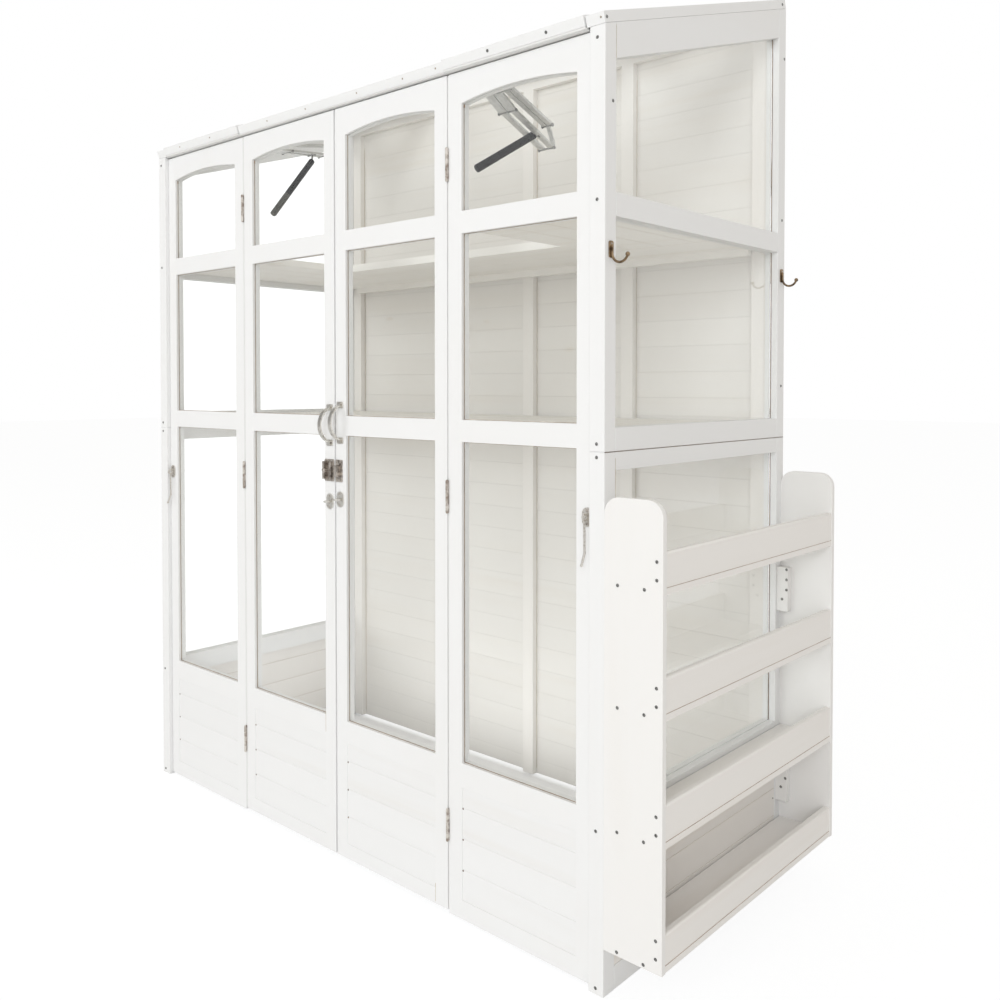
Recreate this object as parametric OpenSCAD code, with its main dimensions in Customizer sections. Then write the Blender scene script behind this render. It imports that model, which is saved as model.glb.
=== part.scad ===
// Timber wall greenhouse with two hinged doors, roof vents and a planter rack on its right side.
// Units are millimetres. +Z is up, the front faces -Y and the rack is on +X.
// The origin is the middle of the footprint, on the ground.

/* [Overall] */
// Width over the corner posts
width = 1596; // [1400:1:1900]
// Depth from the front posts' face to the back of the boards
depth = 730; // [650:1:900]
// Height of the front posts, to the underside of the roof frame
front_h = 1802; // [1500:1:2100]
// Slope of the roof
roof_slope = 17.8; // [10:0.1:25]

/* [Frame] */
// Side of the square corner posts
post = 35; // [30:1:50]
// Height of the joint between the lower and upper module
module_z = 1018; // [850:1:1150]
// Depth and width of the shadow groove at the module joint
seam = 1.6; // [1:0.1:3]
// Height of the sloping top rail of a side wall, measured upright
side_top_h = 67; // [50:1:90]
// Height of a side wall's two middle rails
side_rail_h = 45; // [35:1:60]
// Height of the lower module's top rail
lower_top_h = 35; // [25:1:50]
// Gap left between a piece and its seat
seat = 0.3; // [0.2:0.05:0.5]

/* [Leaves] */
// Thickness of a front leaf
leaf_t = 25; // [20:1:32]
// Setback of a leaf behind the posts' front face
leaf_recess = 10.5; // [6:0.5:16]
// Width of a stile
stile_w = 38; // [30:1:50]
// Clear gap along each side of a door
door_gap = 5; // [5:0.5:8]
// Gap between a leaf and the roof frame above it
head_gap = 5; // [5:0.5:8]
// Height of the doors above the ground
door_clear = 10; // [8:1:20]
// Height of the fixed panels above the ground
panel_clear = 5; // [2:1:8]
// Height of the two glazing rails
rail_h = 47; // [35:1:60]
// Drop from the posts' top to the upper glazing rail's underside
rail1_drop = 342; // [280:1:400]
// Underside and top of the rail below the glass
rail3_z = [288, 340]; // [250:1:380]
// Top of the bottom rails
bottom_rail_z = 46; // [35:1:60]
// Height of a leaf's top rail at its stiles
top_rail_h = 66; // [60:1:90]
// Rise of the arch
arch_rise = 13; // [8:1:30]

/* [Glass and boards] */
// Thickness of the glass
glass_t = 4; // [3:0.5:6]
// Depth of the glazing groove
groove = 6; // [4:1:10]
// Play of glass and boards in their grooves
play = 0.2; // [0.1:0.05:0.3]
// Glass setback behind a leaf's front face
front_glass_in = 8; // [5:0.5:12]
// Glass setback behind a side wall's outer face
side_glass_in = 17; // [12:0.5:27]
// Thickness of the tongued boards
board_t = 12; // [9:1:18]
// Thickness of a board's tongue
tongue_t = 4; // [3:0.5:5]
// Setback of the boards behind the leaves' face
board_in = 1; // [0.5:0.1:4]
// Visible height of one board
board_h = 66.5; // [60:0.5:100]
// Depth of the V joint between the boards of the leaves and plinths
vee = 0.8; // [0.6:0.1:3]
// Depth of the V joint between the boards of the back wall
back_vee = 0.5; // [0.3:0.1:3]
// Width and thickness of the battens that carry the back wall
batten = [38, 18]; // [10:1:50]
// Underside of the beam at the top of the back wall, below the roof
back_beam_h = 41; // [30:1:60]

/* [Shelves] */
// Depth of the rear shelf board and of the one before it
back_shelf_d = [175, 153]; // [100:1:250]
// Width of one board of a shelf arm
arm_board_w = 90; // [75:1:95]
// Height of a shelf's underside above the underside of its glazing rail
shelf_up = 12; // [6:1:20]
// Thickness of the shelf boards
shelf_t = 20; // [15:1:24]
// Width and depth of the joint lines between shelf boards
shelf_joint = [2.5, 2]; // [1:0.5:4]
// Height and depth of the bearer below a shelf's rear edge
bearer = 18; // [12:1:30]

/* [Planter rack] */
// Depth of the rack
rack_d = 127; // [100:1:160]
// Lowest and highest edge of the rack's sides
rack_z = [92, 938]; // [60:1:960]
// Thickness of the rack's sides, shelves and lips
rack_t = 12; // [10:1:18]
// Undersides of the four rack shelves, from the lowest up
rack_shelf_z = [93, 316, 546, 771]; // [60:1:900]
// Tops of the four lip boards
rack_lip_z = [161, 395, 623, 847]; // [120:1:920]
// Setback of a lip behind its shelf's front edge
lip_in = 1; // [0.5:0.5:3]
// Radius of a lip's outer top edge
lip_r = 4; // [2:0.5:8]
// Radius of the rounded top corners
rack_r = 32; // [15:1:45]
// Width, thickness and height of a cleat
cleat = [28, 18, 105]; // [15:1:120]
// Undersides of the cleats
cleat_z = [150, 605]; // [100:1:800]

/* [Roof] */
// Thickness of the roof frame, square to the slope
roof_t = 21; // [18:1:30]
// Width of the roof frame's side members
roof_edge = 42; // [36:1:60]
// Width of the two rafters beside the vents
rafter_w = 38; // [30:1:60]
// Depth of the roof frame's front and rear rails
roof_rail_d = [46, 60]; // [40:1:90]
// Height and depth of the stop behind the leaves' heads
head_stop = 20; // [15:1:30]
// Height by which a closed vent stands above the frame
vent_lift = 3; // [2:0.5:8]
// Overhang of a vent's front edge past the frame's
vent_forward = 4; // [0:0.5:10]
// Width of a vent's members
vent_w = 38; // [30:1:50]
// Gap around a vent
vent_gap = 1.5; // [1:0.5:4]

/* [Hinges] */
// Radius of a hinge knuckle
knuckle_r = 3.2; // [2.8:0.1:6]
// Radius of a hinge pin
pin_r = 1.4; // [1.2:0.1:2.5]
// Height of a hinge
hinge_h = 68; // [50:1:90]
// Thickness of a hinge flap
flap_t = 1.6; // [1.2:0.1:2]
// Underside of the lowest hinge
hinge_low_z = 163; // [100:1:200]
// Drop from the module joint to the middle hinge's underside
hinge_mid_drop = 148; // [100:1:200]
// Drop from the posts' top to the highest hinge's underside
hinge_top_drop = 227; // [200:1:260]
// Free play around a hinge pin
pin_play = 0.08; // [0.05:0.01:0.1]

/* [Hardware] */
// Projection of the bow handles
handle_out = 34; // [25:1:45]
// Height over the handle's feet
handle_h = 100; // [80:1:130]
// Middle heights of the left and the right handle
handle_z = [1046, 1052.5]; // [900:0.5:1150]
// Width and height of a handle's foot
foot = [22, 15]; // [10:1:30]
// Width and thickness of a handle's strap
strap = [11, 3.5]; // [2:0.5:15]
// Thickness of the small plates
plate_t = 2.5; // [1.5:0.5:4]
// Height of the slide bolt's plate
bolt_h = 53; // [40:1:70]
// Width of the slide bolt and of its keeper
bolt_w = [35, 24]; // [15:1:50]
// Underside of the slide bolt
bolt_z = 911; // [850:1:950]
// Width and height of an eye plate
eye = [24, 38]; // [15:1:50]
// Middle heights of the left and the right eye plate
eye_z = [862, 869.5]; // [800:0.5:950]
// Width and height of a cabin hook's plate
hook = [22, 36]; // [15:1:50]
// Middle heights of the left and the right hook plate
hook_z = [891, 894]; // [800:0.5:950]
// Length of a cabin hook's shaft and of its bent tip
hook_l = [67, 22]; // [15:1:90]
// Radius of the hooks' and eyes' wire
wire_r = 2.2; // [1.5:0.1:3]
// Height and projection of a coat hook
coat = [43, 46]; // [30:1:60]
// Tops of the front and the rear coat hook, below the upper glazing rail
coat_drop = [52, 43]; // [30:1:120]
// Radius of a vent opener's cylinder
piston_r = 9; // [5:0.5:12]
// Width and thickness of the openers' arms
arm = [12, 2.5]; // [2:0.5:16]

/* [Hidden] */
$fn = 48;
e = 0.01;
white = [0.93, 0.93, 0.92];
metal = [0.62, 0.60, 0.57];
clear = [0.8, 0.9, 0.9, 0.4];
slope_k = tan(roof_slope);
leaf_w = (width - 2 * post) / 4;
seam_left = post + leaf_w;
seam_mid = width / 2;
seam_right = width - post - leaf_w;
leaf_y = leaf_recess;
leaf_back = leaf_recess + leaf_t;
leaf_top = front_h - head_gap;
spring_z = leaf_top - top_rail_h;
rail1_z = [front_h - rail1_drop, front_h - rail1_drop + rail_h];
rail2_z = [module_z + 4, module_z + 4 + rail_h];
side_rail1_z = [rail1_z[0] - 4, rail1_z[0] - 4 + side_rail_h];
side_rail2_z = [module_z, module_z + side_rail_h];
hinge_z = [hinge_low_z, module_z - hinge_mid_drop, front_h - hinge_top_drop];
pin_y = leaf_y - knuckle_r - seat;
origin_x = (width + rack_d) / 2;
origin_y = (depth + leaf_y - handle_out) / 2;
wall_y0 = post;
wall_y1 = depth - post;
back_in = depth - board_t;
batten_y = back_in - batten[1];
batten_x = [for (k = [0.278, 0.502, 0.7155]) k * width];
arm_w = 4 * arm_board_w;
stop_y = leaf_back + door_gap + 0.5;
vent_y1 = depth - roof_rail_d[1] - vent_gap;
vent_x = [[roof_edge + vent_gap, seam_left - vent_gap], [seam_right + vent_gap, width - roof_edge - vent_gap]];
handle_x = door_gap / 2 + stile_w / 2 - 2;

// Height of the roof frame's underside at a depth y
function roof_z(y) = front_h + slope_k * y;

// Point of the roof at a depth y of its underside, raised by n square to the slope
function roof_pt(y, n) = [y - n * sin(roof_slope), roof_z(y) + n * cos(roof_slope)];

// Moves a piece from the greenhouse's own corner to the shared origin
module place()
    translate([-origin_x, -origin_y, 0]) children();

module box(x, y, z)
    translate([x[0], y[0], z[0]]) cube([x[1] - x[0], y[1] - y[0], z[1] - z[0]]);

// Outline drawn in X and Z, given a thickness in Y
module upright(y0, t)
    translate([0, y0 + t, 0]) rotate([90, 0, 0]) linear_extrude(t) children();

// Outline drawn in Y and Z, given a thickness in X
module crosswise(x0, t)
    translate([x0, 0, 0]) rotate([90, 0, 90]) linear_extrude(t) children();

// Rectangle with rounded corners, about its middle
module rounded(w, h, r) {
    square([w - 2 * r, h], center = true);
    square([w, h - 2 * r], center = true);
    for (x = [-1, 1], y = [-1, 1])
        translate([x * (w / 2 - r), y * (h / 2 - r)]) circle(r, $fn = 32);
}

// Rod between two points
module rod(a, b, r) {
    d = b - a;
    translate(a) rotate([0, acos(d[2] / norm(d)), atan2(d[1], d[0])]) cylinder(h = norm(d), r = r, $fn = 32);
}

// Pane opening with a flat or arched head
module pane(x0, x1, z0, z1, rise = 0) {
    translate([x0, z0]) square([x1 - x0, z1 - z0]);
    if (rise > 0) {
        half = (x1 - x0) / 2;
        r = (half * half + rise * rise) / (2 * rise);
        intersection() {
            translate([x0, z1 - e]) square([x1 - x0, rise + 1]);
            translate([x0 + half, z1 + rise - r]) circle(r, $fn = 400);
        }
    }
}

// Shadow groove around a bar of the frame at the module joint
module seam_ring(x, y0, y1)
    translate([x + post / 2, (y0 + y1) / 2, module_z])
        difference() {
            cube([post + 2, y1 - y0 + 2, seam], center = true);
            cube([post - 2 * seam, y1 - y0 - (y1 - y0 > 2 * post ? -4 : 2 * seam), seam + 2], center = true);
        }

// Post with a groove at the module joint; its top follows the roof
module corner_post(x, y)
    difference() {
        crosswise(x, post)
            polygon([[y, 0], [y + post, 0], [y + post, roof_z(y + post) - seat], [y, roof_z(y) - seat]]);
        seam_ring(x, y, y + post);
    }

// Tongued boards lying one above the other, from y0 inward, with V joints on both faces
module boards(x0, x1, y0, z0, z1, v) {
    n = ceil((z1 - z0) / board_h);
    front = [for (i = [0 : n - 1]) each board_edge(z0, z1, i, 0, 1, v)];
    back = [for (i = [n - 1 : -1 : 0]) each board_edge(z0, z1, i, board_t, -1, v)];
    translate([x0, y0, 0]) rotate([90, 0, 90]) linear_extrude(x1 - x0)
        polygon(concat(front, back));
}

// Four corners of one board's edge; side is 1 on the front face and -1 on the back face
function board_edge(z0, z1, i, y, side, v) =
    let (a = z0 + i * board_h, b = min(z0 + (i + 1) * board_h, z1),
         low = i == 0 ? 0 : v, high = b == z1 ? 0 : v,
         up = [[y + side * low, a], [y, a + low], [y, b - high], [y + side * high, b]])
    side > 0 ? up : [up[3], up[2], up[1], up[0]];

// Tongue along all four edges of a field of boards, with g of play
module tongue(x0, x1, y0, z0, z1, g)
    box([x0 - groove + 1 - g, x1 + groove - 1 + g],
        [y0 + board_t / 2 - tongue_t / 2 - g, y0 + board_t / 2 + tongue_t / 2 + g],
        [z0 - groove + 1 - g, z1 + groove - 1 + g]);

// Field of boards between stiles and rails, held by its tongue
module board_field(x0, x1, y0, z0, z1) {
    boards(x0 + play, x1 - play, y0, z0 + play, z1 - play, vee);
    tongue(x0, x1, y0, z0, z1, 0);
}

// One front leaf with its three glazed openings, its board field and their grooves
module leaf(x0, x1, z0) {
    a = x0 + stile_w;
    b = x1 - stile_w;
    difference() {
        upright(leaf_y, leaf_t)
            difference() {
                translate([x0, z0]) square([x1 - x0, leaf_top - z0]);
                pane(a, b, rail1_z[1], spring_z, arch_rise);
                pane(a, b, rail2_z[1], rail1_z[0]);
                pane(a, b, rail3_z[1], rail2_z[0]);
                pane(a, b, bottom_rail_z, rail3_z[0]);
            }
        leaf_panes(a, b, play);
        tongue(a, b, leaf_y + board_in, bottom_rail_z, rail3_z[0], play);
    }
}

// Three panes of a leaf, with g of play in the groove
module leaf_panes(a, b, g) {
    y = leaf_y + front_glass_in;
    w = groove + g;
    for (z = [[rail1_z[1], spring_z + arch_rise], [rail2_z[1], rail1_z[0]], [rail3_z[1], rail2_z[0]]])
        box([a - w, b + w], [y - g, y + glass_t + g], [z[0] - w, z[1] + w]);
}

module leaf_boards(x0, x1)
    board_field(x0 + stile_w, x1 - stile_w, leaf_y + board_in, bottom_rail_z, rail3_z[0]);

module glass_of_leaf(x0, x1)
    leaf_panes(x0 + stile_w, x1 - stile_w, 0);

// Side wall between its posts: sloping top rail, two middle rails, the lower module's rails and bottom rail
module wall_frame(x0)
    difference() {
        crosswise(x0, post)
            difference() {
                polygon([[wall_y0, seat], [wall_y1, seat],
                    [wall_y1, roof_z(wall_y1) - seat], [wall_y0, roof_z(wall_y0) - seat]]);
                side_pane_top(0, -e);
                side_pane(side_rail2_z[1], side_rail1_z[0], 0, -e);
                side_pane(rail3_z[1], module_z - lower_top_h, 0, -e);
                side_pane(bottom_rail_z, rail3_z[0], 0, -e);
            }
        wall_panes(x0, play, -e);
        wall_boards(x0) tongue(0, wall_y1 - wall_y0, 0, bottom_rail_z, rail3_z[0], play);
        seam_ring(x0, wall_y0, wall_y1);
    }

// Outline of the sloping upper pane, larger by g at its rails and set in by s from the posts
module side_pane_top(g, s)
    polygon([[wall_y0 + s, side_rail1_z[1] - g], [wall_y1 - s, side_rail1_z[1] - g],
        [wall_y1 - s, roof_z(wall_y1) - side_top_h + g], [wall_y0 + s, roof_z(wall_y0) - side_top_h + g]]);

module side_pane(z0, z1, g, s)
    translate([wall_y0 + s, z0 - g]) square([wall_y1 - wall_y0 - 2 * s, z1 - z0 + 2 * g]);

// Three panes of a side wall, with g of play in the grooves
module wall_panes(x0, g, s) {
    gx = x0 == 0 ? x0 + side_glass_in : x0 + post - side_glass_in - glass_t;
    crosswise(gx - g, glass_t + 2 * g)
        union() {
            side_pane_top(groove + g, s);
            side_pane(side_rail2_z[1], side_rail1_z[0], groove + g, s);
            side_pane(rail3_z[1], module_z - lower_top_h, groove + g, s);
        }
}

// Turns something drawn along X into the plane of a side wall's boards
module wall_boards(x0)
    translate([x0 == 0 ? x0 + board_in + board_t : x0 + post - board_in, wall_y0, 0])
        rotate([0, 0, 90]) children();

// Roof member between two depths and two heights square to the slope
module slab(x0, x1, y, n)
    crosswise(x0, x1 - x0)
        polygon([roof_pt(y[0], n[0]), roof_pt(y[1], n[0]), roof_pt(y[1], n[1]), roof_pt(y[0], n[1])]);

module vent_frame(x) {
    n = [vent_lift, vent_lift + roof_t];
    difference() {
        slab(x[0], x[1], [-vent_forward, vent_y1], n);
        slab(x[0] + vent_w, x[1] - vent_w, [vent_w, vent_y1 - vent_w], n + [-1, 1]);
        vent_pane(x, play);
    }
}

// Pane of a vent, with g of play in the groove
module vent_pane(x, g)
    slab(x[0] + vent_w - groove - g, x[1] - vent_w + groove + g,
        [vent_w - groove - g, vent_y1 - vent_w + groove + g],
        [vent_lift + roof_t / 2 - g, vent_lift + roof_t / 2 + glass_t + g]);

module post_front_left() color(white) place() corner_post(0, 0);
module post_front_right() color(white) place() corner_post(width - post, 0);
module post_back_left() color(white) place() corner_post(0, wall_y1);
module post_back_right() color(white) place() corner_post(width - post, wall_y1);

module left_wall_frame() color(white) place() wall_frame(0);
module right_wall_frame() color(white) place() wall_frame(width - post);

module side_plinth_boards()
    color(white) place()
        for (x = [0, width - post])
            wall_boards(x) difference() {
                board_field(0, wall_y1 - wall_y0, 0, bottom_rail_z, rail3_z[0]);
                for (y = [-post, wall_y1 - wall_y0 - play])
                    box([y, y + post + play], [-1, board_t + 1], [0, rail3_z[1]]);
            }

module side_glass()
    color(clear) place()
        for (x = [0, width - post])
            wall_panes(x, 0, seat);

module back_wall_boards()
    color(white) place() {
        boards(post + seat, width - post - seat, back_in, bottom_rail_z, roof_z(back_in) - 1, back_vee);
        box([post + seat, width - post - seat], [back_in + back_vee / 2, depth - back_vee / 2],
            [panel_clear, bottom_rail_z + e]);
    }

// Beam at the top of the back wall, between two battens
module back_beam(x0, x1)
    box([x0, x1], [batten_y, back_in], [roof_z(back_in) - back_beam_h, roof_z(batten_y) - 1]);

module back_wall_battens()
    color(white) place() {
        xs = concat([post + seat], batten_x, [width - post - seat - batten[0]]);
        for (x = xs)
            box([x, x + batten[0]], [batten_y, back_in], [panel_clear, roof_z(batten_y) - 1]);
        for (i = [0 : 3])
            back_beam(xs[i] + batten[0] - e, xs[i + 1] + e);
    }

module panel_left() color(white) place() leaf(post, seam_left - door_gap / 2, panel_clear);
module panel_right() color(white) place() leaf(seam_right + door_gap / 2, width - post, panel_clear);
module door_left() color(white) place() leaf(seam_left + door_gap / 2, seam_mid - door_gap / 2, door_clear);
module door_right() color(white) place() leaf(seam_mid + door_gap / 2, seam_right - door_gap / 2, door_clear);

module panel_boards()
    color(white) place() {
        leaf_boards(post, seam_left - door_gap / 2);
        leaf_boards(seam_right + door_gap / 2, width - post);
    }

module door_left_boards()
    color(white) place() leaf_boards(seam_left + door_gap / 2, seam_mid - door_gap / 2);

module door_right_boards()
    color(white) place() leaf_boards(seam_mid + door_gap / 2, seam_right - door_gap / 2);

module panel_glass()
    color(clear) place() {
        glass_of_leaf(post, seam_left - door_gap / 2);
        glass_of_leaf(seam_right + door_gap / 2, width - post);
    }

module door_left_glass()
    color(clear) place() glass_of_leaf(seam_left + door_gap / 2, seam_mid - door_gap / 2);

module door_right_glass()
    color(clear) place() glass_of_leaf(seam_mid + door_gap / 2, seam_right - door_gap / 2);

// Sloping frame: side members, rafters beside the vents, front and rear rails and the leaves' head stop
module roof_frame()
    color(white) place() {
        bay_y1 = depth - roof_rail_d[1];
        difference() {
            slab(0, width, [0, depth], [0, roof_t]);
            for (x = vent_x)
                slab(x[0] - vent_gap, x[1] + vent_gap, [-post, bay_y1], [-1, roof_t + 1]);
            slab(seam_left + rafter_w, seam_right - rafter_w, [roof_rail_d[0], bay_y1], [-1, roof_t + 1]);
            roof_pane(play);
        }
        crosswise(post + seat, width - 2 * (post + seat))
            polygon([[stop_y, front_h - head_stop], [stop_y + head_stop, front_h - head_stop],
                roof_pt(stop_y + head_stop, vent_lift - seat), roof_pt(stop_y, vent_lift - seat)]);
    }

// Fixed pane of the middle bay, with g of play in the groove
module roof_pane(g)
    slab(seam_left + rafter_w - groove - g, seam_right - rafter_w + groove + g,
        [roof_rail_d[0] - groove - g, depth - roof_rail_d[1] + groove + g],
        [roof_t / 2 - g, roof_t / 2 + glass_t + g]);

module roof_glass() color(clear) place() roof_pane(0);

module vent_left() color(white) place() vent_frame(vent_x[0]);
module vent_right() color(white) place() vent_frame(vent_x[1]);

module vent_glass()
    color(clear) place()
        for (x = vent_x)
            vent_pane(x, 0);

// Flat arm between two points given in Y and Z
module link(x0, w, a, b) {
    d = b - a;
    crosswise(x0, w)
        translate(a) rotate(atan2(d[1], d[0])) translate([0, -arm[1] / 2]) square([norm(d), arm[1]]);
    for (p = [a, b])
        crosswise(x0 + w * 0.1, w * 0.8) translate(p) circle(arm[1], $fn = 24);
}

// Automatic opener: upper arms from a plate behind the head stop, lower arms, a link and the cylinder.
// Places of the middle, far and low pins and of the cylinder's top: from the stop and the posts' top, in arm widths.
// The cylinder runs from there by "way", also in arm widths.
module vent_opener(x, hang, places, way) {
    y0 = stop_y + head_stop + seat;
    near = [y0 + plate_t + arm[1] / 2, front_h - hang];
    mid = [stop_y, front_h] + places[0] * arm[0];
    far = [stop_y, front_h] + places[1] * arm[0];
    low = [stop_y, front_h] + places[2] * arm[0];
    top = [x - arm[0], stop_y + places[3][0] * arm[0], front_h + places[3][1] * arm[0]];
    pin = arm[1] * 0.75;
    box([x - 3.5 * arm[0], x + 3.5 * arm[0]], [y0, y0 + plate_t], [near[1] - arm[0] * 0.6, front_h + 4]);
    for (k = [-3.3, -1.2])
        link(x + k * arm[0], arm[0] * 1.8, near, mid);
    for (k = [1.1, 2.3])
        link(x + k * arm[0], arm[0], near, far);
    for (k = [-3, -0.7])
        link(x + k * arm[0], arm[0] * 1.2, mid, low);
    link(x + 1.9 * arm[0], arm[0] * 0.8, far, far + [arm[0] * 1.4, -arm[0] * 3]);
    rod([x - 3.4 * arm[0], mid[0], mid[1]], [x + 0.7 * arm[0], mid[0], mid[1]], pin);
    rod([x + arm[0], far[0], far[1]], [x + 3.4 * arm[0], far[0], far[1]], pin);
    rod([x - 3.1 * arm[0], low[0], low[1]], [x + 0.6 * arm[0], low[0], low[1]], pin);
    rod(top, top + way * arm[0], piston_r);
    translate(top + way * arm[0]) sphere(piston_r * 0.9, $fn = 32);
    part = (top[1] - mid[0]) / (low[0] - mid[0]);
    held = mid + part * (low - mid);
    rod(top + way / norm(way) * pin, [top[0], held[0], held[1]], pin * 1.3);
    rod([x - 2.5 * arm[0], held[0], held[1]], [x, held[0], held[1]], pin * 1.1);
}

module vent_openers()
    color([0.25, 0.25, 0.26]) place() {
        vent_opener(seam_left - leaf_w * 0.25, arm[0] / 2,
            [[16.2, 1], [26.8, 3.7], [26.8, 1.9], [23.2, 0.2]], [0, -11.2, -14.2]);
        vent_opener(seam_right + leaf_w * 0.25, arm[0] * 3.8,
            [[6.1, -6.3], [13, -8], [17, -10.9], [13.3, -8.9]], [-5.1, -9.6, -6.9]);
    }

// U-shaped shelf with an arm of boards along each side wall, and a bearer on the back wall
module u_shelf(z) {
    y2 = batten_y - seat;
    y1 = y2 - back_shelf_d[0];
    y0 = y1 - back_shelf_d[1];
    xs = [post + seat, post + arm_w, width - post - arm_w, width - post - seat];
    difference() {
        union() {
            box([xs[0], xs[3]], [y1, y2], [z, z + shelf_t]);
            box([xs[1] - e, xs[2] + e], [y0, y1 + e], [z, z + shelf_t]);
            for (i = [0, 2])
                box([xs[i], xs[i + 1]], [leaf_back + head_gap + 1, y1 + e], [z, z + shelf_t]);
        }
        for (s = [z, z + shelf_t]) {
            translate([width / 2, y1, s]) cube([width, shelf_joint[0], 2 * shelf_joint[1]], center = true);
            for (i = [1 : 4])
                for (x = [post + i * arm_board_w, width - post - i * arm_board_w])
                    translate([x, y1 / 2, s]) cube([shelf_joint[0], y1, 2 * shelf_joint[1]], center = true);
        }
    }
    box([xs[0] + batten[0], xs[3] - batten[0]], [y2 - bearer, y2], [z - bearer, z + e]);
}

module upper_shelf() color(white) place() u_shelf(rail1_z[0] + shelf_up);
module middle_shelf() color(white) place() u_shelf(rail2_z[0] + shelf_up);

// Rack side with rounded top corners
module rack_side(y0)
    upright(y0, rack_t) {
        translate([width, rack_z[0]]) square([rack_d, rack_z[1] - rack_r - rack_z[0]]);
        translate([width + rack_r, rack_z[0]]) square([rack_d - 2 * rack_r, rack_z[1] - rack_z[0]]);
        for (x = [rack_r, rack_d - rack_r])
            translate([width + x, rack_z[1] - rack_r]) circle(rack_r, $fn = 64);
    }

module rack_sides()
    color(white) place() {
        rack_side(0);
        rack_side(depth - rack_t);
    }

// Rack shelf with the lip board that stands on its front edge
module rack_shelf(i) {
    y = [rack_t + play, depth - rack_t - play];
    x1 = width + rack_d - lip_in;
    z = rack_shelf_z[i];
    box([width + 2 * lip_in, x1], y, [z, z + rack_t]);
    upright(y[0], y[1] - y[0]) {
        translate([x1 - lip_in - rack_t, z]) square([rack_t - lip_r, rack_lip_z[i] - z]);
        translate([x1 - lip_in - rack_t, z]) square([rack_t, rack_lip_z[i] - lip_r - z]);
        translate([x1 - lip_in - lip_r, rack_lip_z[i] - lip_r]) circle(lip_r, $fn = 32);
    }
}

module rack_shelf_1() color(white) place() rack_shelf(0);
module rack_shelf_2() color(white) place() rack_shelf(1);
module rack_shelf_3() color(white) place() rack_shelf(2);
module rack_shelf_4() color(white) place() rack_shelf(3);

module rack_cleats()
    color(white) place()
        for (y = [rack_t + play, depth - rack_t - play - cleat[1]], z = cleat_z)
            box([width, width + cleat[0]], [y, y + cleat[1]], [z, z + cleat[2]]);

// Hinge knuckle on the vertical axis at x, from z0 to z1, bored for the pin or not
module knuckle(x, z0, z1, bore)
    difference() {
        translate([x, pin_y, z0]) cylinder(h = z1 - z0, r = knuckle_r, $fn = 40);
        if (bore)
            translate([x, pin_y, z0 - 1]) cylinder(h = z1 - z0 + 2, r = pin_r + pin_play, $fn = 32);
    }

// Fixed half of a hinge: flap, two outer knuckles and the pin; dir points to the fixed panel
module hinge_fixed(x, z, dir) {
    x0 = dir > 0 ? x + door_gap / 2 - flap_t : x - door_gap / 2;
    k = hinge_h * 0.3;
    difference() {
        box([x0, x0 + flap_t], [pin_y + 1, leaf_y + leaf_t * 0.8], [z, z + hinge_h]);
        translate([x, pin_y, z + k - 0.5]) cylinder(h = hinge_h - 2 * k + 1, r = knuckle_r + 0.5, $fn = 40);
    }
    for (a = [[z, z + k], [z + hinge_h - k, z + hinge_h]])
        knuckle(x, a[0], a[1], false);
    translate([x, pin_y, z + k / 2]) cylinder(h = hinge_h - k, r = pin_r, $fn = 32);
}

// Door half of a hinge: flap and middle knuckle
module hinge_door(x, z, dir) {
    x0 = dir > 0 ? x + door_gap / 2 - flap_t : x - door_gap / 2;
    k = hinge_h * 0.3 + 0.5;
    difference() {
        box([x0, x0 + flap_t], [pin_y + 1, leaf_y + leaf_t * 0.8], [z, z + hinge_h]);
        for (a = [z - 1, z + hinge_h - k])
            translate([x, pin_y, a]) cylinder(h = k + 1, r = knuckle_r + 0.5, $fn = 40);
        translate([x, pin_y, z]) cylinder(h = hinge_h, r = pin_r + pin_play, $fn = 32);
    }
    knuckle(x, z + k, z + hinge_h - k, true);
}

module hinges_fixed()
    color(metal) place()
        for (z = hinge_z) {
            hinge_fixed(seam_left, z, -1);
            hinge_fixed(seam_right, z, 1);
        }

module hinges_door_left()
    color(metal) place() for (z = hinge_z) hinge_door(seam_left, z, 1);

module hinges_door_right()
    color(metal) place() for (z = hinge_z) hinge_door(seam_right, z, -1);

// Bow handle: a bent strap between two rounded feet
module bow_handle(x, z) {
    half = handle_h / 2 - foot[1] / 2;
    sag = handle_out - strap[1] / 2;
    r = (half * half + sag * sag) / (2 * sag);
    a = asin(half / r);
    for (s = [-1, 1])
        upright(leaf_y - plate_t, plate_t)
            translate([x, z + s * half]) rounded(foot[0], foot[1], foot[1] / 4);
    translate([x, leaf_y - sag + r, z])
        rotate([90, 0, 90]) rotate([0, 0, 180 - a + 4])
            rotate_extrude(angle = 2 * a - 8, $fn = 96)
                translate([r - strap[1] / 2, -strap[0] / 2]) square([strap[1], strap[0]]);
    for (s = [-1, 1])
        upright(leaf_y - plate_t - strap[1] * 1.1, plate_t + strap[1] * 0.9)
            translate([x, z + s * half]) square([strap[0] * 1.1, foot[1] * 0.7], center = true);
}

module handle_left() color(metal) place() bow_handle(seam_mid - handle_x, handle_z[0]);
module handle_right() color(metal) place() bow_handle(seam_mid + handle_x, handle_z[1]);

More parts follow.
